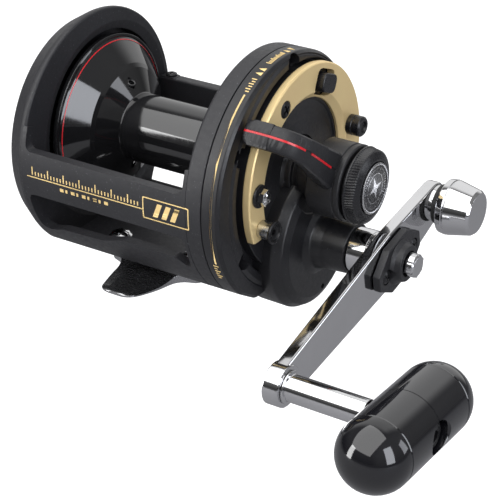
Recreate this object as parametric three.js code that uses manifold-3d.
// Lever-drag trolling reel, right-hand wind, in millimetres.
// +X runs along the spool axis towards the handle, +Y towards the rod tip, +Z up.
// The origin is the centre of the reel foot's underside.

import * as THREE from 'three';
import { mergeVertices } from 'three/addons/utils/BufferGeometryUtils.js';
import Module from 'manifold-3d';

const wasm = await Module();
wasm.setup();

// ---------------------------------------------------------------- driving dimensions

const AXIS_Z = 44;            // spool axis above the foot's underside
const GAP = 0.3;              // clearance between neighbouring pieces
const DETAIL = 0.4;           // share of the finest facet count used on rounds

// frame: both rings share one outline, set back from the spool axis
const RING_R = 43;
const RING_Y = -5;
const RING_Z = -1.2;
const RING_BORE = 32.4;
const LEFT_OUT = -41;
const LEFT_IN = -32;
const RIGHT_IN = 32.5;
const SEAM = 39.7;              // where the side plate meets the frame
const BASE_TOP = -35.5;
const BASE_BOTTOM = -39;
const BASE_CORNER = 228;     // where the ring's circle meets the sloping underside, degrees
const BASE_REAR = -24.4;
const CROSSBAR_TOP = 5;

// spool
const FLANGE_R = 31;
const FLANGE_X = 31;          // inner faces of the flanges lie at plus and minus this
const CONE_R = 21.3;
const CONE_X = 23.4;
const ARBOR_R = 12.3;
const ARBOR_X = 18.4;
const SHAFT_R = 3;

// side plate
const RIM_FRONT = 46.4;
const DECK_X = 47.2;          // seat of the quadrant
const QUADRANT_OUT = 36.2;
const QUADRANT_Y = 0.8;       // centre of the plate's outer edge
const QUADRANT_Z = 0.5;
const QUADRANT_IN = 24.6;
const QUADRANT_T = 2.8;
const QUADRANT_TOP = DECK_X + GAP / 3 + QUADRANT_T;
const QUADRANT_FROM = -6;     // degrees from +Y towards +Z
const QUADRANT_TO = 207;

// gears: 14 and 56 teeth of one module give the 4 to 1 ratio
const MODULE = 0.726;
const PINION_TEETH = 14;
const GEAR_TEETH = 56;
const GEAR_OFFSET = MODULE * (PINION_TEETH + GEAR_TEETH) / 2;
const GEAR_ANGLE = -85.1;     // where the handle shaft lies around the spool axis
const HANDLE_Y = GEAR_OFFSET * Math.cos(rad(GEAR_ANGLE));
const HANDLE_Z = GEAR_OFFSET * Math.sin(rad(GEAR_ANGLE));
const HOUSING_R = 25.4;
const HOUSING_X = 55;

// handle
const ARM_BACK = 78.2;
const ARM_FRONT = 82.7;
const ARM_ANGLE = -168.2;     // the arm's grip end, around the handle shaft
const ARM_REACH = 68.75;
const WEIGHT_REACH = 31.8;
const TAIL_ANGLE = 183.3;     // the counterweight's side of the arm is bent a little
const POST_R = 4.5;
const GRIP_X = 123.7;
const GRIP_R = 12;
const GRIP_HALF = 18.2;
const GRIP_TILT = -3;

// drag lever and preset knob
const LEVER_ANGLE = 142;
const HUB_R = 13.2;
const KNOB_X = 71;
const KNOB_R = 13.2;
const POST_ANGLE_FRONT = 12;
const POST_ANGLE_FREE = 199;
const POST_RING = 30;

// ---------------------------------------------------------------- materials

const graphite = new THREE.MeshStandardMaterial({ color: 0x3a3b3f, roughness: 0.6, metalness: 0.1 });
const blackPlastic = new THREE.MeshStandardMaterial({ color: 0x1c1c1f, roughness: 0.45, metalness: 0.1 });
const anodised = new THREE.MeshStandardMaterial({ color: 0x121214, roughness: 0.2, metalness: 0.8 });
const gold = new THREE.MeshStandardMaterial({ color: 0xc9a860, roughness: 0.4, metalness: 0.9 });
const chrome = new THREE.MeshStandardMaterial({ color: 0xd8d8d8, roughness: 0.12, metalness: 1 });
const steel = new THREE.MeshStandardMaterial({ color: 0x9a9a98, roughness: 0.3, metalness: 1 });
const blackSteel = new THREE.MeshStandardMaterial({ color: 0x202022, roughness: 0.35, metalness: 0.7 });
const redPaint = new THREE.MeshStandardMaterial({ color: 0xc81a22, roughness: 0.4, metalness: 0 });
const gloss = new THREE.MeshStandardMaterial({ color: 0x0e0e10, roughness: 0.12, metalness: 0 });
const bronze = new THREE.MeshStandardMaterial({ color: 0xb08d4a, roughness: 0.4, metalness: 0.9 });
const friction = new THREE.MeshStandardMaterial({ color: 0x6b5a48, roughness: 0.9, metalness: 0 });
const rubber = new THREE.MeshStandardMaterial({ color: 0x151515, roughness: 0.8, metalness: 0 });

// ---------------------------------------------------------------- helpers

function rad(degrees) {
  return degrees * Math.PI / 180;
}

// closed geometry to solid, with merged vertices and outward faces
function solid(geometry) {
  const plain = geometry.clone();
  plain.deleteAttribute('normal');
  plain.deleteAttribute('uv');
  const merged = mergeVertices(plain, 1e-4);
  const position = merged.attributes.position.array;
  const index = merged.index.array;
  const kept = [];
  let volume = 0;
  const a = new THREE.Vector3();
  const b = new THREE.Vector3();
  const c = new THREE.Vector3();
  for (let i = 0; i < index.length; i += 3) {
    const [u, v, w] = [index[i], index[i + 1], index[i + 2]];
    if (u === v || v === w || w === u) continue;
    kept.push(u, v, w);
    a.fromArray(position, 3 * u);
    b.fromArray(position, 3 * v);
    c.fromArray(position, 3 * w);
    volume += a.dot(b.cross(c));
  }
  if (volume < 0) {
    for (let i = 0; i < kept.length; i += 3) {
      [kept[i], kept[i + 1]] = [kept[i + 1], kept[i]];
    }
  }
  const vertProperties = new Float32Array(position);
  const triVerts = new Uint32Array(kept);
  return new wasm.Manifold(new wasm.Mesh({ numProp: 3, vertProperties, triVerts }));
}

// facets on a full round, from the finest count that the round would have
function facets(finest) {
  return Math.max(12, 4 * Math.round(finest * DETAIL / 4));
}

function geometryOf(body) {
  const mesh = body.getMesh();
  const geometry = new THREE.BufferGeometry();
  geometry.setAttribute('position', new THREE.BufferAttribute(new Float32Array(mesh.vertProperties), 3));
  geometry.setIndex(new THREE.BufferAttribute(new Uint32Array(mesh.triVerts), 1));
  geometry.computeVertexNormals();
  return geometry;
}

// solid of revolution about an axis parallel to X; profile is a list of [x, radius]
function turned(profile, segments = 48, y = 0, z = 0) {
  const points = profile.map(([x, r]) => new THREE.Vector2(Math.max(r, 0), x));
  const first = points[0];
  const last = points[points.length - 1];
  if (first.x > 0 || last.x > 0) points.push(first.clone());
  const geometry = new THREE.LatheGeometry(points, facets(segments));
  geometry.rotateZ(-Math.PI / 2);
  geometry.translate(0, y, z);
  return solid(geometry);
}

function rod(x0, x1, r, segments = 32, y = 0, z = 0) {
  return turned([[x0, 0], [x0, r], [x1, r], [x1, 0]], segments, y, z);
}

function tube(x0, x1, inner, outer, segments = 40, y = 0, z = 0) {
  return turned([[x0, inner], [x0, outer], [x1, outer], [x1, inner]], segments, y, z);
}

// outline in the YZ plane, pushed from x0 to x1
function slab(shape, x0, x1, curveSegments = 12) {
  const options = { depth: x1 - x0, bevelEnabled: false, curveSegments: facets(curveSegments) };
  const geometry = new THREE.ExtrudeGeometry(shape, options);
  const turn = new THREE.Matrix4().set(0, 0, 1, x0, 1, 0, 0, 0, 0, 1, 0, 0, 0, 0, 0, 1);
  geometry.applyMatrix4(turn);
  return solid(geometry);
}

function polygon(points) {
  return new THREE.Shape(points.map(([y, z]) => new THREE.Vector2(y, z)));
}

function block(x0, x1, y0, y1, z0, z1) {
  const geometry = new THREE.BoxGeometry(x1 - x0, y1 - y0, z1 - z0);
  geometry.translate((x0 + x1) / 2, (y0 + y1) / 2, (z0 + z1) / 2);
  return solid(geometry);
}

// upright cylinder, along Z
function pillar(x, y, z0, z1, r, segments = 20) {
  const geometry = new THREE.CylinderGeometry(r, r, z1 - z0, facets(segments));
  geometry.rotateX(Math.PI / 2);
  geometry.translate(x, y, (z0 + z1) / 2);
  return solid(geometry);
}

function around(angle, radius) {
  return [radius * Math.cos(rad(angle)), radius * Math.sin(rad(angle))];
}

function joined(...bodies) {
  return bodies.reduce((whole, body) => whole.add(body));
}

function add(parent, name, body, material) {
  const mesh = new THREE.Mesh(geometryOf(body), material);
  mesh.name = name;
  parent.add(mesh);
  return mesh;
}

// spur gear outline: straight-flanked teeth with a small backlash, first tooth at phase
function gearShape(teeth, phase, bore) {
  const pitch = MODULE * teeth / 2;
  const tip = pitch + 0.85 * MODULE;
  const root = pitch - 1.15 * MODULE;
  const step = 2 * Math.PI / teeth;
  const shape = new THREE.Shape();
  for (let i = 0; i < teeth; i += 1) {
    const centre = phase + i * step;
    const corners = [[-0.32, root], [-0.12, tip], [0.12, tip], [0.32, root]];
    for (const [part, r] of corners) {
      const angle = centre + part * step;
      const x = r * Math.cos(angle);
      const y = r * Math.sin(angle);
      if (i === 0 && part === -0.32) shape.moveTo(x, y);
      else shape.lineTo(x, y);
    }
  }
  shape.closePath();
  const hole = new THREE.Path();
  hole.absarc(0, 0, bore, 0, 2 * Math.PI, true);
  shape.holes.push(hole);
  return shape;
}

// screw lying along X: pan head at x1 on a shank that starts at x0
function screwAlongX(x0, x1, headT, headR, shankR, y, z) {
  const shank = turned([[x0, 0], [x0, shankR], [x1, shankR], [x1, 0]], 12, y, z);
  const head = turned([[x1, 0], [x1, headR], [x1 + 0.6 * headT, headR], [x1 + headT, 0.7 * headR],
    [x1 + headT, 0]], 20, y, z);
  return shank.add(head);
}

// cross-shaped recess for a driver, facing +X
function crossRecess(x, depth, size, y, z) {
  const wide = block(x - depth, x + 1, y - size, y + size, z - size / 4, z + size / 4);
  const tall = block(x - depth, x + 1, y - size / 4, y + size / 4, z - size, z + size);
  return wide.add(tall);
}

// ---------------------------------------------------------------- frame

function ringOutline() {
  const frontAngle = Math.asin((BASE_BOTTOM + 9 - RING_Z) / RING_R);
  const shape = new THREE.Shape();
  shape.moveTo(RING_Y + RING_R * Math.cos(frontAngle), RING_Z + RING_R * Math.sin(frontAngle));
  shape.absarc(RING_Y, RING_Z, RING_R, frontAngle, rad(BASE_CORNER), false);
  shape.lineTo(BASE_REAR, BASE_BOTTOM);
  shape.lineTo(24, BASE_BOTTOM);
  shape.closePath();
  return shape;
}

function arcPlate(fromAngle, toAngle, inner, outer) {
  const shape = new THREE.Shape();
  shape.moveTo(RING_Y + inner * Math.cos(rad(fromAngle)), RING_Z + inner * Math.sin(rad(fromAngle)));
  shape.lineTo(RING_Y + outer * Math.cos(rad(fromAngle)), RING_Z + outer * Math.sin(rad(fromAngle)));
  shape.absarc(RING_Y, RING_Z, outer, rad(fromAngle), rad(toAngle), false);
  shape.lineTo(RING_Y + inner * Math.cos(rad(toAngle)), RING_Z + inner * Math.sin(rad(toAngle)));
  shape.absarc(RING_Y, RING_Z, inner, rad(toAngle), rad(fromAngle), true);
  return shape;
}

const FOOT_SCREW_X = 15.5;
const FOOT_SCREW_Y = 17.5;
const COVER_R = 33.6;
const SHOULDER_X = -35.4;     // the left ring tapers outward from here

function makeFrame() {
  const wallIn = LEFT_IN - 1;
  const wallOut = RIGHT_IN + 1;
  const taper = turned([
    [LEFT_OUT, 0], [LEFT_OUT, RING_R - 4.3], [SHOULDER_X, RING_R + 0.2], [wallOut, RING_R + 0.2], [wallOut, 0],
  ], 96, RING_Y, RING_Z);
  const leftRing = slab(ringOutline(), LEFT_OUT, LEFT_IN, 40).intersect(joined(
    taper,
    rod(LEFT_OUT, wallOut, COVER_R + 1, 72),
    block(LEFT_OUT + 3, wallOut, -40, 40, BASE_BOTTOM - 1, -26),
  ));
  const rightRing = slab(ringOutline(), RIGHT_IN, SEAM - GAP / 2, 40);
  const rearPlate = slab(arcPlate(171, 192, RING_R - 3.4, RING_R), wallIn, wallOut, 8);
  const frontBar = block(wallIn, wallOut, 32.6, 37.2, -7, CROSSBAR_TOP);
  const rearWall = joined(
    slab(arcPlate(211, 232, RING_R - 3, RING_R), wallIn, wallOut, 10),
    slab(arcPlate(205.5, 212, RING_R - 3, RING_R), 3, 28, 6),
  ).intersect(slab(ringOutline(), wallIn, wallOut, 40));
  const [cornerY, cornerZ] = around(BASE_CORNER, RING_R);
  const base = slab(polygon([
    [RING_Y + cornerY, RING_Z + cornerZ], [BASE_REAR, BASE_BOTTOM], [24, BASE_BOTTOM],
    [27.5, BASE_BOTTOM + 3.5], [26, BASE_TOP + 1], [24, BASE_TOP], [-26, BASE_TOP], [-31, -31.5],
  ]), wallIn, wallOut);
  let body = joined(leftRing, rightRing, rearPlate, frontBar, base, rearWall);
  // bores for the spool, the chamfer of the left one, and the rebate of the left cover
  body = body.subtract(rod(LEFT_OUT - 1, LEFT_IN + 1, RING_BORE, 72));
  body = body.subtract(rod(RIGHT_IN - 1, SEAM + 1, RING_BORE, 72));
  body = body.subtract(rod(LEFT_OUT - 1, LEFT_OUT + 3, COVER_R, 72));
  body = body.subtract(turned([[LEFT_IN - 1.2, 0], [LEFT_IN - 1.2, RING_BORE], [LEFT_IN + 0.2, 35.7],
    [LEFT_IN + 0.2, 0]], 72));
  // screw holes: foot, crossbar and cover
  for (const x of [-FOOT_SCREW_X, FOOT_SCREW_X]) {
    for (const y of [-FOOT_SCREW_Y, FOOT_SCREW_Y]) {
      body = body.subtract(pillar(x, y, BASE_BOTTOM - 1, BASE_TOP + 1, 1.8));
    }
  }
  body = body.subtract(pillar(-29, 35, 0, CROSSBAR_TOP + 2, 1.3, 16));
  return body;
}

// ---------------------------------------------------------------- left side

const COVER_SCREW_ANGLES = [60, 180, 300];
const COVER_SCREW_R = 26;
const CLICKER_Y = -13;

function makeLeftCover() {
  const disc = turned([[LEFT_OUT - 1.6, 0], [LEFT_OUT - 1.6, 22], [LEFT_OUT, COVER_R - GAP],
    [LEFT_OUT + 3 - GAP, COVER_R - GAP], [LEFT_OUT + 3 - GAP, 0]], 72);
  const boss = rod(LEFT_OUT + 2, -34.6, 8, 40);
  let body = disc.add(boss);
  body = body.subtract(rod(LEFT_OUT + 1.2, -34, SHAFT_R + 0.05, 32));
  // slot for the clicker button
  body = body.subtract(block(LEFT_OUT - 3, LEFT_OUT + 4, CLICKER_Y - 6.2, CLICKER_Y + 3.2, -2.3, 2.3));
  for (const angle of COVER_SCREW_ANGLES) {
    const [y, z] = around(angle, COVER_SCREW_R);
    body = body.subtract(rod(LEFT_OUT - 3, LEFT_OUT + 1.2, 2.7, 20, y, z));
    body = body.subtract(rod(LEFT_OUT - 3, LEFT_OUT + 4, 1.5, 16, y, z));
  }
  return body;
}

// ---------------------------------------------------------------- spool

const SPOOL_BEARING_OUT = 6.5;
const CUP_R = 27.4;           // recess in the right flange that holds the drag
const CUP_X = 31.8;

function makeSpool() {
  const profile = [
    [-33, 25], [-33, FLANGE_R], [-FLANGE_X, FLANGE_R], [-FLANGE_X, 29.4], [-CONE_X - 0.6, CONE_R + 0.4],
    [-CONE_X + 0.4, CONE_R - 0.8], [-ARBOR_X, ARBOR_R], [ARBOR_X, ARBOR_R], [CONE_X - 0.4, CONE_R - 0.8],
    [CONE_X + 0.6, CONE_R + 0.4], [FLANGE_X, 29.4], [FLANGE_X, FLANGE_R], [33.2, FLANGE_R],
    [33.2, CUP_R], [CUP_X, CUP_R], [CUP_X, 12], [29, 12], [29, 8.4], [25, SPOOL_BEARING_OUT], [20, SPOOL_BEARING_OUT],
    [20, 4.2], [-26, 4.2], [-26, SPOOL_BEARING_OUT], [-30, SPOOL_BEARING_OUT],
    [-31, 17], [-31.4, 25],
  ];
  let body = turned(profile, 64);
  // hole for the line pin in the left cone
  const hole = pillar(-21.4, 0, 8, 22, 1.1, 16);
  body = body.subtract(hole.rotate([-40, 0, 0]));
  return body;
}

// shielded ball bearing: two races as one ring with a step where the shields sit
function makeBearing(x0, x1, inner, outer, y = 0, z = 0) {
  const shoulder = outer - 0.8;
  return turned([
    [x0, inner], [x0, shoulder], [x0 + 0.3, outer], [x1 - 0.3, outer], [x1, shoulder], [x1, inner],
  ], 32, y, z);
}

function makeClickGear() {
  const teeth = 20;
  const shape = new THREE.Shape();
  for (let i = 0; i < teeth; i += 1) {
    const [y0, z0] = around(i * 360 / teeth, 14.5);
    const [y1, z1] = around((i + 0.5) * 360 / teeth, 12.9);
    if (i === 0) shape.moveTo(y0, z0);
    else shape.lineTo(y0, z0);
    shape.lineTo(y1, z1);
  }
  shape.closePath();
  const hole = new THREE.Path();
  hole.absarc(0, 0, 8.6, 0, 2 * Math.PI, true);
  shape.holes.push(hole);
  return slab(shape, -32.9, -31.5, 20);
}

// ---------------------------------------------------------------- strike button

const BUTTON_ANGLE = 68;
const BUTTON_LONG = 9.4;
const BUTTON_SHORT = 7;
const BUTTON_FLANGE = 0.9;
const BUTTON_TRAVEL = 1.8;

// rounded block that lies across the quadrant at the button's place
function buttonBlock(x0, x1, grow) {
  const a = BUTTON_LONG / 2 + grow;
  const b = BUTTON_SHORT / 2 + grow;
  const round = 2;
  const shape = new THREE.Shape();
  shape.moveTo(a - round, -b);
  shape.quadraticCurveTo(a, -b, a, round - b);
  shape.lineTo(a, b - round);
  shape.quadraticCurveTo(a, b, a - round, b);
  shape.lineTo(round - a, b);
  shape.quadraticCurveTo(-a, b, -a, b - round);
  shape.lineTo(-a, round - b);
  shape.quadraticCurveTo(-a, -b, round - a, -b);
  shape.closePath();
  const [y, z] = around(BUTTON_ANGLE, POST_RING);
  return slab(shape, x0, x1, 4).rotate([BUTTON_ANGLE - 90, 0, 0]).translate([0, y, z]);
}

function makeStrikeButton() {
  const flangeBase = 43.6 + 0.3 + BUTTON_TRAVEL;
  const flange = buttonBlock(flangeBase, DECK_X - 0.2, BUTTON_FLANGE);
  const stem = buttonBlock(flangeBase + 0.5, QUADRANT_TOP + 2.4, 0);
  const crown = buttonBlock(QUADRANT_TOP + 2.3, QUADRANT_TOP + 3, -0.6);
  return joined(flange, stem, crown);
}

// ---------------------------------------------------------------- side plate

const NOTCH_ANGLES = [94, 154, 213];
const RIM_INNER = 36.4;
const NOTCH_R = 38.2;
const CHANNEL_X = 43.5;
const PAWL_OFFSET = 16.8;     // pin of the pawl, behind the handle shaft
const PAWL_PIN_R = 0.9;

function makeSidePlate() {
  const outline = turned([
    [SEAM + GAP / 2, 0], [SEAM + GAP / 2, RING_R], [RIM_FRONT - 1.4, RING_R], [RIM_FRONT, RING_R - 1.6],
    [RIM_FRONT, 0],
  ], 96, RING_Y, RING_Z);
  const channel = tube(CHANNEL_X, RIM_FRONT + 1, 20, RIM_INNER, 72, -0.8, 0);
  const deck = turned([[SEAM + 1, 0], [SEAM + 1, QUADRANT_OUT - 0.8], [DECK_X, QUADRANT_OUT - 0.8],
    [DECK_X, 0]], 72, QUADRANT_Y, QUADRANT_Z);
  const housing = turned([
    [SEAM + 1, 0], [SEAM + 1, HOUSING_R], [HOUSING_X - 4, HOUSING_R], [HOUSING_X - 1.2, HOUSING_R - 1.6],
    [HOUSING_X, HOUSING_R - 4.4], [HOUSING_X, 0],
  ], 64, HANDLE_Y, HANDLE_Z);
  const boss = turned([
    [HOUSING_X - 1, 0], [HOUSING_X - 1, 12], [HOUSING_X + 1.2, 9.6], [68.7, 8.8], [68.7, 0],
  ], 40, HANDLE_Y, HANDLE_Z);
  const foot = slab(polygon([
    [BASE_REAR, BASE_BOTTOM], [24, BASE_BOTTOM], [28, -32], [28, -10], [-36, -10], [-33.8, -33.2],
  ]), SEAM + GAP / 2, RIM_FRONT - 2);
  let body = joined(outline.subtract(channel), deck, housing, boss, foot);
  // recess of the hub and neck that carries the lever
  const leverSweep = rod(46.2, 70, QUADRANT_IN - 0.8, 56);
  body = body.subtract(leverSweep.subtract(rod(46, 56, HOUSING_R + 0.2, 64, HANDLE_Y, HANDLE_Z)));
  body = body.subtract(rod(HOUSING_X - 1.2, 72, 14.2, 48));
  body = body.add(rod(45, 56.4, 9, 40));
  // drag chamber, gear chamber and the bores of both shafts
  body = body.subtract(rod(SEAM - 1, 41.2, 29.4, 64));
  body = body.subtract(rod(SEAM - 1, 51.4, 8.2, 40));
  body = body.subtract(rod(SEAM - 1, 62, SHAFT_R + 0.05, 32));
  body = body.subtract(rod(SEAM - 1, 51.4, 21.6, 56, HANDLE_Y, HANDLE_Z));
  body = body.subtract(rod(50, 70, 5, 32, HANDLE_Y, HANDLE_Z));
  body = body.subtract(rod(51, 55.2, 7.02, 32, HANDLE_Y, HANDLE_Z));
  // notches of the side plate screws
  for (const angle of NOTCH_ANGLES) {
    const [y, z] = around(angle, NOTCH_R);
    body = body.subtract(rod(41.6, RIM_FRONT + 6, 3.4, 24, y, z));
    body = body.subtract(rod(SEAM - 1, 43, 1.4, 16, y, z));
  }
  // blind holes under the quadrant's posts and screws
  for (const angle of [POST_ANGLE_FRONT, POST_ANGLE_FREE, 117, 175]) {
    const [y, z] = around(angle, POST_RING);
    body = body.subtract(rod(44, DECK_X + 1, 1.8, 16, y, z));
  }
  body = body.subtract(buttonBlock(43.6, DECK_X + 1, 0.5 + BUTTON_FLANGE));
  // pin that the anti-reverse pawl hangs on
  body = body.add(rod(47.4, 52, PAWL_PIN_R, 20, HANDLE_Y - PAWL_OFFSET, HANDLE_Z));
  // drain hole in the housing
  body = body.subtract(rod(50, 56, 0.9, 16, HANDLE_Y + 2, HANDLE_Z - 19.4));
  return body;
}

// ---------------------------------------------------------------- quadrant

function sector(inner, outer, fromAngle, toAngle) {
  const shape = new THREE.Shape();
  shape.moveTo(...around(fromAngle, inner));
  shape.lineTo(...around(fromAngle, outer));
  shape.absarc(0, 0, outer, rad(fromAngle), rad(toAngle), false);
  shape.lineTo(...around(toAngle, inner));
  shape.absarc(0, 0, inner, rad(toAngle), rad(fromAngle), true);
  return shape;
}

function makeQuadrant() {
  const x0 = DECK_X + GAP / 3;
  const x1 = x0 + QUADRANT_T;
  const plate = slab(sector(QUADRANT_IN, QUADRANT_OUT + 2, QUADRANT_FROM, QUADRANT_TO), x0, x1, 40);
  const bevelled = turned([[x0 - 1, 0], [x0 - 1, QUADRANT_OUT], [x1 - 0.4, QUADRANT_OUT],
    [x1 + 1, QUADRANT_OUT - 1.4], [x1 + 1, 0]], 96, QUADRANT_Y, QUADRANT_Z);
  let body = plate.intersect(bevelled);
  // level cut across the lower end
  body = body.subtract(block(x0 - 2, x1 + 2, -40, -20, -40, -13.8));
  const bore = turned([[x0 - 1, 0], [x0 - 1, QUADRANT_IN - 1], [x1 - 1.6, QUADRANT_IN - 0.2],
    [x1, QUADRANT_IN + 1.8], [x1 + 1, QUADRANT_IN + 3], [x1 + 1, 0]], 96);
  body = body.subtract(bore);
  // clear of the gear housing
  body = body.subtract(rod(x0 - 2, x1 + 2, HOUSING_R + GAP, 64, HANDLE_Y, HANDLE_Z));
  for (const angle of [POST_ANGLE_FRONT, POST_ANGLE_FREE, 117, 175]) {
    const [y, z] = around(angle, POST_RING);
    body = body.subtract(rod(x0 - 2, x1 + 2, 1.8, 20, y, z));
  }
  const [qy, qz] = around(117, POST_RING);
  body = body.subtract(rod(x1 - 1.3, x1 + 2, 3.1, 24, qy, qz));
  return body.subtract(buttonBlock(x0 - 2, x1 + 2, 0.4));
}

// ---------------------------------------------------------------- drag lever

const LEVER_W = 8;
const PAD_R = 43.4;

function makeLever() {
  // side profile in X and radius: hub end, sloping arm, elbow and thumb pad over the rim
  const profile = new THREE.Shape();
  profile.moveTo(60, 12);
  profile.lineTo(67.6, 12);
  profile.lineTo(67.2, 20);
  profile.lineTo(66.4, 32);
  profile.quadraticCurveTo(66, 38.6, 61, 41.6);
  profile.lineTo(57, PAD_R - 0.6);
  profile.lineTo(48.6, PAD_R);
  profile.quadraticCurveTo(47, 42.8, 47.3, 41);
  profile.lineTo(48.6, 39.2);
  profile.lineTo(57.6, 38.4);
  profile.quadraticCurveTo(60.8, 37, 61, 32);
  profile.lineTo(60.4, 20);
  profile.closePath();
  const geometry = new THREE.ExtrudeGeometry(profile, { depth: 14, bevelEnabled: false, curveSegments: 8 });
  // profile x stays X and profile y is the radius, laid along +Y
  geometry.translate(0, 0, -7);
  const plain = solid(geometry);
  const width = polygon([[10, -6.2], [22, -5.4], [34, -LEVER_W / 2], [46, -LEVER_W / 2 + 0.2],
    [46, LEVER_W / 2 - 0.2], [34, LEVER_W / 2], [22, 5.4], [10, 6.2]]);
  const wedge = slab(width, 40, 76);
  let arm = plain.intersect(wedge);
  // stop rib under the arm
  const rib = slab(polygon([[27.6, -2.6], [32.4, -2.2], [32.4, 2.2], [27.6, 2.6]]), 54.4, 61.5);
  arm = arm.add(rib);
  arm = arm.rotate([LEVER_ANGLE, 0, 0]);
  const hub = turned([[57, 0], [57, HUB_R - 0.8], [57.8, HUB_R], [68.8, HUB_R], [69.6, HUB_R - 0.8],
    [69.6, 0]], 56);
  let body = arm.add(hub);
  // bore for the shaft and the cam pocket
  body = body.subtract(rod(56, 71, SHAFT_R + 0.25, 32));
  body = body.subtract(rod(56, 62, 8.4, 40));
  // groove for the inlay on the pad's outer face
  const groove = slab(polygon([[PAD_R - 0.6, -0.5], [PAD_R + 2, -0.5], [PAD_R + 2, 0.5], [PAD_R - 0.6, 0.5]]),
    48.6, 60).rotate([LEVER_ANGLE, 0, 0]);
  return body.subtract(groove);
}

function makeInlay() {
  const strip = slab(polygon([[PAD_R - 0.4, -0.4], [PAD_R + 0.1, -0.4], [PAD_R + 0.1, 0.4],
    [PAD_R - 0.4, 0.4]]), 48.8, 56);
  return strip.rotate([LEVER_ANGLE, 0, 0]);
}

// ---------------------------------------------------------------- handle

// gear phases put a pinion tooth in a gap of the main gear along the line of centres
const MESH_LINE = rad(GEAR_ANGLE);
const PINION_PHASE = MESH_LINE;
const GEAR_PHASE = MESH_LINE + Math.PI + Math.PI / GEAR_TEETH;

function makePinion() {
  const teeth = slab(gearShape(PINION_TEETH, PINION_PHASE, SHAFT_R + 0.25), 41.8, 47.8, 24);
  const sleeve = tube(38.7, 41.9, SHAFT_R + 0.25, 5.6, 32);
  const journal = tube(47.7, 51, SHAFT_R + 0.25, 4, 32);
  return joined(teeth, sleeve, journal);
}

function makeMainGear() {
  const shape = gearShape(GEAR_TEETH, GEAR_PHASE, 4.9);
  return slab(shape, 42.6, 47, 24).translate([0, HANDLE_Y, HANDLE_Z]);
}

function makeHandleShaft() {
  return turned([
    [39.4, 0], [39.4, 3.4], [41.6, 3.4], [41.6, 6.5], [42.3, 6.5], [42.3, 4.7], [77, 4.7], [77.8, 4.3],
    [86.6, 4.3], [86.6, 3], [91.4, 3], [91.4, 0],
  ], 32, HANDLE_Y, HANDLE_Z);
}

function makeRatchet() {
  const teeth = 12;
  const shape = new THREE.Shape();
  for (let i = 0; i < teeth; i += 1) {
    const [y0, z0] = around(i * 360 / teeth, 12.4);
    const [y1, z1] = around(i * 360 / teeth + 2, 10.2);
    if (i === 0) shape.moveTo(y0, z0);
    else shape.lineTo(y0, z0);
    shape.lineTo(y1, z1);
  }
  shape.closePath();
  const hole = new THREE.Path();
  hole.absarc(0, 0, 4.9, 0, 2 * Math.PI, true);
  shape.holes.push(hole);
  return slab(shape, 47.9, 49.7, 24).translate([0, HANDLE_Y, HANDLE_Z]);
}

function makePawl() {
  // lies beside the ratchet, hinged on a pin at its lower end
  const shape = polygon([[-18.6, -1.6], [-15, -2.2], [-13.4, 4.4], [-14.2, 5.4], [-16.6, 4.6], [-18.8, 1.2]]);
  let body = slab(shape, 47.9, 49.7).translate([0, HANDLE_Y, HANDLE_Z]);
  body = body.subtract(rod(47, 50.5, PAWL_PIN_R + GAP, 20, HANDLE_Y - PAWL_OFFSET, HANDLE_Z));
  return body;
}

// outline of a bar with round ends: centre, radius and centre, radius along the arm
function taperedBar(y0, r0, y1, r1) {
  const shape = new THREE.Shape();
  const tilt = Math.asin((r0 - r1) / Math.abs(y1 - y0));
  const up = Math.PI / 2 - tilt;
  shape.moveTo(y0 + r0 * Math.cos(up), r0 * Math.sin(up));
  shape.absarc(y0, 0, r0, up, 2 * Math.PI - up, false);
  shape.lineTo(y1 + r1 * Math.cos(-up), r1 * Math.sin(-up));
  shape.absarc(y1, 0, r1, -up, up, false);
  shape.closePath();
  return shape;
}

function onArm(body) {
  return body.rotate([ARM_ANGLE, 0, 0]).translate([0, HANDLE_Y, HANDLE_Z]);
}

const RETAINER_SCREWS = [-9.4, 9.4];

function makeArm() {
  const main = slab(taperedBar(0, 10.4, ARM_REACH, 6.6), ARM_BACK, ARM_FRONT, 20);
  const tail = slab(taperedBar(0, 10.4, WEIGHT_REACH, 6.4), ARM_BACK, ARM_FRONT, 20)
    .rotate([TAIL_ANGLE, 0, 0]);
  const eye = rod(ARM_BACK - 0.6, ARM_FRONT + 0.6, 7, 40, ARM_REACH, 0);
  const weightSeat = rod(ARM_FRONT - 1, ARM_FRONT + 1.7, 6, 32, ...around(TAIL_ANGLE, WEIGHT_REACH));
  let body = joined(main, tail, eye, weightSeat);
  body = body.subtract(rod(ARM_BACK - 1, ARM_FRONT + 1, 4.6, 32));
  body = body.subtract(rod(ARM_BACK - 2, ARM_FRONT + 2, 2.9, 24, ARM_REACH, 0));
  body = body.subtract(rod(ARM_BACK + 1.5, ARM_FRONT + 3, 2.1, 24, ...around(TAIL_ANGLE, WEIGHT_REACH)));
  for (const y of RETAINER_SCREWS) {
    body = body.subtract(rod(ARM_BACK + 0.6, ARM_FRONT + 1, 1.4, 16, y, 0));
  }
  return onArm(body);
}

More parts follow.
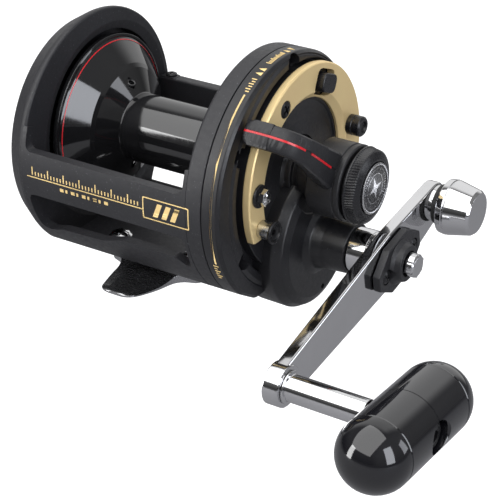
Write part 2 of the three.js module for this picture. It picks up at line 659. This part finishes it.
function makeRetainer() {
  const outline = polygon([[-14.3, -2.8], [-14.3, 2.8], [-6.4, 8.8], [6.4, 8.8], [14.3, 2.8], [14.3, -2.8],
    [6.4, -8.8], [-6.4, -8.8]]);
  const plate = slab(outline, ARM_FRONT + GAP, ARM_FRONT + 3);
  const cone = turned([[ARM_FRONT + 2, 0], [ARM_FRONT + 2, 8.4], [ARM_FRONT + 4, 7], [ARM_FRONT + 6.2, 6.2],
    [ARM_FRONT + 6.2, 0]], 40);
  let body = plate.add(cone);
  body = body.subtract(rod(ARM_FRONT, ARM_FRONT + 4.2, 4.6, 32));
  body = body.subtract(rod(ARM_FRONT, ARM_FRONT + 8, 4.4, 32));
  for (const y of RETAINER_SCREWS) {
    body = body.subtract(rod(ARM_FRONT, ARM_FRONT + 4, 1.4, 16, y, 0));
    body = body.subtract(rod(ARM_FRONT + 1.8, ARM_FRONT + 7, 2.6, 20, y, 0));
  }
  return onArm(body);
}

function makeNut() {
  const outline = polygon([0, 60, 120, 180, 240, 300].map((angle) => around(angle, 4.1)));
  const hex = slab(outline, ARM_FRONT + 4.5, ARM_FRONT + 9.7);
  const chamfer = turned([[ARM_FRONT + 4, 0], [ARM_FRONT + 4, 5], [ARM_FRONT + 8.6, 4.4],
    [ARM_FRONT + 9.7, 3.4], [ARM_FRONT + 9.7, 0]], 40);
  const threads = rod(ARM_FRONT + 4, ARM_FRONT + 9.1, 3.3, 24);
  return onArm(hex.intersect(chamfer).subtract(threads));
}

function makeCounterweight() {
  const x = ARM_FRONT + 2.6;
  return onArm(turned([
    [x, 0], [x, 7.2], [x + 1.4, 8.6], [x + 3, 9.7], [x + 4, 9.9], [x + 5, 9.7], [x + 12, 8.1],
    [x + 13, 7.4], [x + 13.5, 6.8], [x + 13.5, 0],
  ], 56, ...around(TAIL_ANGLE, WEIGHT_REACH)));
}

function makePost() {
  return onArm(joined(
    rod(ARM_BACK - 1.6, ARM_BACK - 0.9, 5.2, 32, ARM_REACH, 0),
    rod(ARM_BACK - 1, ARM_FRONT + 0.9, 2.6, 24, ARM_REACH, 0),
    rod(ARM_FRONT + 0.9, GRIP_X - GRIP_R - 0.4, POST_R, 32, ARM_REACH, 0),
    rod(GRIP_X - GRIP_R - 0.5, GRIP_X + 6.6, 2.6, 24, ARM_REACH, 0),
  ));
}

// ---------------------------------------------------------------- grip

// built along +Y about the post, then tilted and moved to it
function onPost(body) {
  const [y, z] = around(ARM_ANGLE, ARM_REACH);
  return body.rotate([GRIP_TILT, 0, 0]).translate([0, HANDLE_Y + y, HANDLE_Z + z]);
}

function barrelAlongY(profile, segments = 48) {
  const points = profile.map(([y, r]) => new THREE.Vector2(r, y));
  if (points[0].x > 0 || points[points.length - 1].x > 0) points.push(points[0].clone());
  const geometry = new THREE.LatheGeometry(points, facets(segments));
  geometry.translate(GRIP_X, 0, 0);
  return solid(geometry);
}

function makeBarrel() {
  let body = barrelAlongY([[-GRIP_HALF, 0], [-GRIP_HALF, GRIP_R], [GRIP_HALF, GRIP_R], [GRIP_HALF, 0]]);
  body = body.subtract(rod(GRIP_X - GRIP_R - 2, GRIP_X + 7, 2.85, 32));
  body = body.subtract(rod(GRIP_X - GRIP_R - 2, GRIP_X - GRIP_R + 1, 4.4, 32));
  body = body.subtract(rod(GRIP_X + 6.9, GRIP_X + GRIP_R + 2, 5.4, 32));
  return onPost(body);
}

function makeCap(side) {
  const steps = 6;
  const profile = [[0.15, 0], [0.15, GRIP_R]];
  for (let i = 1; i < steps; i += 1) {
    const angle = i / steps * Math.PI / 2;
    profile.push([0.15 + GRIP_R * Math.sin(angle), GRIP_R * Math.cos(angle)]);
  }
  profile.push([0.15 + GRIP_R, 0]);
  return onPost(barrelAlongY(profile.map(([y, r]) => [side * (GRIP_HALF + y), r])));
}

function makeGripScrew() {
  let body = rod(GRIP_X + 7.1, GRIP_X + 9.8, 4.2, 32);
  const hex = polygon([0, 60, 120, 180, 240, 300].map((angle) => around(angle, 1.7)));
  body = body.subtract(slab(hex, GRIP_X + 8.2, GRIP_X + 11));
  return onPost(body);
}

// ---------------------------------------------------------------- foot

function makeFoot() {
  // plan outline, X across and Y along, with narrowed round-cornered tongues
  const outline = new THREE.Shape();
  outline.moveTo(-11, -20);
  outline.quadraticCurveTo(-10.4, -34, -7, -41);
  outline.quadraticCurveTo(-6, -43, -4, -43);
  outline.lineTo(4, -43);
  outline.quadraticCurveTo(6, -43, 7, -41);
  outline.quadraticCurveTo(10.4, -34, 11, -20);
  outline.lineTo(19, -20);
  outline.lineTo(19, 20);
  outline.lineTo(11, 20);
  outline.quadraticCurveTo(10.4, 34, 7, 41);
  outline.quadraticCurveTo(6, 43, 4, 43);
  outline.lineTo(-4, 43);
  outline.quadraticCurveTo(-6, 43, -7, 41);
  outline.quadraticCurveTo(-10.4, 34, -11, 20);
  outline.lineTo(-19, 20);
  outline.lineTo(-19, -20);
  outline.closePath();
  const top = BASE_BOTTOM - GAP;
  const bottom = -AXIS_Z;
  const plan = new THREE.ExtrudeGeometry(outline, { depth: top - bottom, bevelEnabled: false, curveSegments: 6 });
  plan.translate(0, 0, bottom);
  // side profile: thick under the base, thin and slightly rising tongues
  const side = polygon([[-44, bottom + 1.3], [-36, bottom + 0.2], [-26, bottom], [26, bottom],
    [36, bottom + 0.2], [44, bottom + 1.3], [44, bottom + 3.1], [36, bottom + 2.3], [28, bottom + 2.6],
    [22, top], [-22, top], [-28, bottom + 2.6], [-36, bottom + 2.3], [-44, bottom + 3.1]]);
  let body = solid(plan).intersect(slab(side, -25, 25));
  for (const x of [-FOOT_SCREW_X, FOOT_SCREW_X]) {
    for (const y of [-FOOT_SCREW_Y, FOOT_SCREW_Y]) {
      body = body.subtract(pillar(x, y, bottom + 1.5, top + 1, 1.8));
    }
  }
  return body;
}

function makeFootScrew(x, y) {
  const geometry = new THREE.LatheGeometry([
    [0, -3.6], [1.6, -3.6], [1.6, GAP / 2], [4.2, GAP / 2], [4, 1], [3.2, 1.9], [1.8, 2.5], [0, 2.7],
  ].map(([r, z]) => new THREE.Vector2(r, z)), 16);
  geometry.rotateX(Math.PI / 2);
  geometry.translate(x, y, BASE_TOP);
  return solid(geometry);
}

// ---------------------------------------------------------------- assembly

const reel = new THREE.Group();
reel.position.z = AXIS_Z;

add(reel, 'frame', makeFrame(), graphite);
add(reel, 'left_side_cover', makeLeftCover(), blackPlastic);
COVER_SCREW_ANGLES.forEach((angle, i) => {
  const [y, z] = around(angle, COVER_SCREW_R);
  const screw = turned([[LEFT_OUT - 0.9, 0], [LEFT_OUT - 0.9, 1.4], [LEFT_OUT - 0.3, 2.4], [LEFT_OUT + 1, 2.4],
    [LEFT_OUT + 1, 1.3], [LEFT_OUT + 3.4, 1.3], [LEFT_OUT + 3.4, 0]], 20, y, z);
  add(reel, `left_cover_screw_${i + 1}`, screw, blackSteel);
});
add(reel, 'clicker_button', joined(
  block(LEFT_OUT - 3.4, LEFT_OUT - 1.9, CLICKER_Y - 5.6, CLICKER_Y, -3.4, 3.4),
  block(LEFT_OUT - 2, LEFT_OUT + 3.2, CLICKER_Y - 5.2, CLICKER_Y - 0.6, -1.9, 1.9),
), blackPlastic);
add(reel, 'click_pawl', slab(polygon([[-20.6, -3], [-18.4, -3], [-17.6, 0], [-18.4, 3], [-20.6, 3]]),
  -37.5, -31.9).subtract(block(-37.6, -33.2, -19.2, -17, -4, 4)), steel);

add(reel, 'spool', makeSpool(), anodised);
add(reel, 'spool_bearing_left', makeBearing(-29.8, -26.3, SHAFT_R + 0.15, SPOOL_BEARING_OUT - 0.15), steel);
add(reel, 'spool_bearing_right', makeBearing(20.3, 23.8, SHAFT_R + 0.15, SPOOL_BEARING_OUT - 0.15), steel);
add(reel, 'click_gear', makeClickGear(), bronze);
add(reel, 'spool_shaft', turned([
  [-39.6, 0], [-39.6, SHAFT_R], [69.4, SHAFT_R], [69.4, 2.4], [75.2, 2.4], [75.2, 0],
], 32), steel);

add(reel, 'drag_washer', tube(32.1, 33.6, 14, 26.6, 56), friction);
add(reel, 'drive_plate', turned([
  [33.9, SHAFT_R + 0.25], [33.9, 26.8], [36.6, 26.8], [36.6, 20], [36, 18], [36, 9.4], [38.4, 8],
  [38.4, SHAFT_R + 0.25],
], 56), steel);
add(reel, 'pinion_gear', makePinion(), bronze);
add(reel, 'pinion_bearing', makeBearing(48.2, 51.2, 4.2, 8), steel);

add(reel, 'side_plate', makeSidePlate(), blackPlastic);
NOTCH_ANGLES.forEach((angle, i) => {
  const [y, z] = around(angle, NOTCH_R);
  const screw = screwAlongX(40.1, 41.8, 1.7, 2.5, 1.2, y, z).subtract(crossRecess(43.5, 0.9, 1.5, y, z));
  add(reel, `side_plate_screw_${i + 1}`, screw, blackSteel);
});
add(reel, 'drag_quadrant', makeQuadrant(), gold);

const [quadrantScrewY, quadrantScrewZ] = around(117, POST_RING);
add(reel, 'quadrant_screw', turned([
  [45, 0], [45, 1.5], [QUADRANT_TOP - 1.1, 1.5], [QUADRANT_TOP - 1.1, 2.9], [QUADRANT_TOP + 0.1, 2.9],
  [QUADRANT_TOP + 0.4, 1.6], [QUADRANT_TOP + 0.4, 0],
], 28, quadrantScrewY, quadrantScrewZ)
  .subtract(crossRecess(QUADRANT_TOP + 0.4, 1, 1.8, quadrantScrewY, quadrantScrewZ)), blackSteel);

const [boltY, boltZ] = around(175, POST_RING);
add(reel, 'quadrant_washer', tube(QUADRANT_TOP + 0.1, QUADRANT_TOP + 0.9, 1.8, 4, 32, boltY, boltZ), steel);
const boltHead = slab(polygon([0, 60, 120, 180, 240, 300].map((angle) => around(angle, 3.2))),
  QUADRANT_TOP + 1, QUADRANT_TOP + 3.2).translate([0, boltY, boltZ]);
add(reel, 'quadrant_bolt', boltHead.add(rod(45, QUADRANT_TOP + 1.2, 1.5, 20, boltY, boltZ)), steel);

const [freeY, freeZ] = around(POST_ANGLE_FREE, POST_RING);
add(reel, 'free_stop_spacer', tube(QUADRANT_TOP + 0.1, QUADRANT_TOP + 4.2, 1.8, 3.1, 32, freeY, freeZ), steel);
add(reel, 'free_stop_screw', joined(
  rod(45, QUADRANT_TOP + 4.4, 1.5, 20, freeY, freeZ),
  turned([[QUADRANT_TOP + 4.3, 0], [QUADRANT_TOP + 4.3, 3.4], [QUADRANT_TOP + 4.9, 3.9],
    [QUADRANT_TOP + 5.7, 3.7], [QUADRANT_TOP + 5.7, 2.6], [QUADRANT_TOP + 5.1, 2.4], [QUADRANT_TOP + 5.1, 0]],
  32, freeY, freeZ),
), blackSteel);

const [fullY, fullZ] = around(POST_ANGLE_FRONT, POST_RING);
add(reel, 'full_stop_post', joined(
  rod(45, QUADRANT_TOP + 0.4, 1.5, 20, fullY, fullZ),
  turned([[QUADRANT_TOP + 0.1, 0], [QUADRANT_TOP + 0.1, 3.6], [QUADRANT_TOP + 4.6, 3.6],
    [QUADRANT_TOP + 5.4, 2.8], [QUADRANT_TOP + 5.4, 0]], 32, fullY, fullZ),
), blackSteel);

add(reel, 'strike_button', makeStrikeButton(), blackPlastic);

add(reel, 'drag_lever', makeLever(), blackPlastic);
add(reel, 'lever_inlay', makeInlay(), redPaint);
add(reel, 'drag_cam_follower', tube(57.4, 61, SHAFT_R + 0.25, 7.9, 40), steel);

add(reel, 'preset_knob', turned([
  [69.9, SHAFT_R + 0.1], [69.9, 11.4], [KNOB_X, 11.4], [KNOB_X, KNOB_R], [KNOB_X + 4, 12.6], [76, 9.8], [76, 9.1],
  [75.4, 9.1], [75.4, 6.5], [74.6, SHAFT_R + 0.1],
], 64), blackPlastic);
add(reel, 'knob_emblem', turned([[76.6, 0], [75.6, 0], [75.6, 8.8], [76.3, 8.8], [76.6, 8.2]].reverse(), 48),
  steel);

add(reel, 'handle_shaft', makeHandleShaft(), steel);
add(reel, 'main_gear', makeMainGear(), bronze);
add(reel, 'ratchet_wheel', makeRatchet(), steel);
add(reel, 'anti_reverse_pawl', makePawl(), steel);
add(reel, 'handle_bearing', makeBearing(51.6, 54.9, 4.95, 6.9, HANDLE_Y, HANDLE_Z), steel);
add(reel, 'shaft_collar', tube(69, 77, 4.95, 8, 40, HANDLE_Y, HANDLE_Z), chrome);
add(reel, 'handle_arm', makeArm(), chrome);
add(reel, 'retainer_plate', makeRetainer(), blackPlastic);
RETAINER_SCREWS.forEach((y, i) => {
  const screw = turned([[ARM_BACK + 1.2, 0], [ARM_BACK + 1.2, 1.1], [ARM_FRONT + 2, 1.1], [ARM_FRONT + 2, 2.3],
    [ARM_FRONT + 3, 2.3], [ARM_FRONT + 3.3, 1.4], [ARM_FRONT + 3.3, 0]], 20, y, 0);
  add(reel, `retainer_screw_${i + 1}`, onArm(screw), blackSteel);
});
add(reel, 'handle_nut', makeNut(), chrome);
add(reel, 'counterweight', makeCounterweight(), chrome);
add(reel, 'counterweight_ring', onArm(
  tube(ARM_FRONT + 1.8, ARM_FRONT + 2.4, 2.5, 6.6, 32, ...around(TAIL_ANGLE, WEIGHT_REACH)),
), rubber);
add(reel, 'grip_post', makePost(), chrome);
add(reel, 'grip_barrel', makeBarrel(), gloss);
add(reel, 'grip_cap_rear', makeCap(-1), gloss);
add(reel, 'grip_cap_front', makeCap(1), gloss);
add(reel, 'grip_screw', makeGripScrew(), blackSteel);

add(reel, 'reel_foot', makeFoot(), steel);
let footScrew = 0;
for (const x of [-FOOT_SCREW_X, FOOT_SCREW_X]) {
  for (const y of [-FOOT_SCREW_Y, FOOT_SCREW_Y]) {
    footScrew += 1;
    add(reel, `foot_screw_${footScrew}`, makeFootScrew(x, y), steel);
  }
}
const crossbarScrew = new THREE.LatheGeometry([[0, -4], [1.2, -4], [1.2, GAP / 3], [2.1, GAP / 3], [2, 0.9],
  [1.2, 1.3], [0, 1.3]].map(([r, z]) => new THREE.Vector2(r, z)), 12);
crossbarScrew.rotateX(Math.PI / 2);
crossbarScrew.translate(-29, 35, CROSSBAR_TOP);
add(reel, 'crossbar_screw', solid(crossbarScrew), blackSteel);

export default reel;
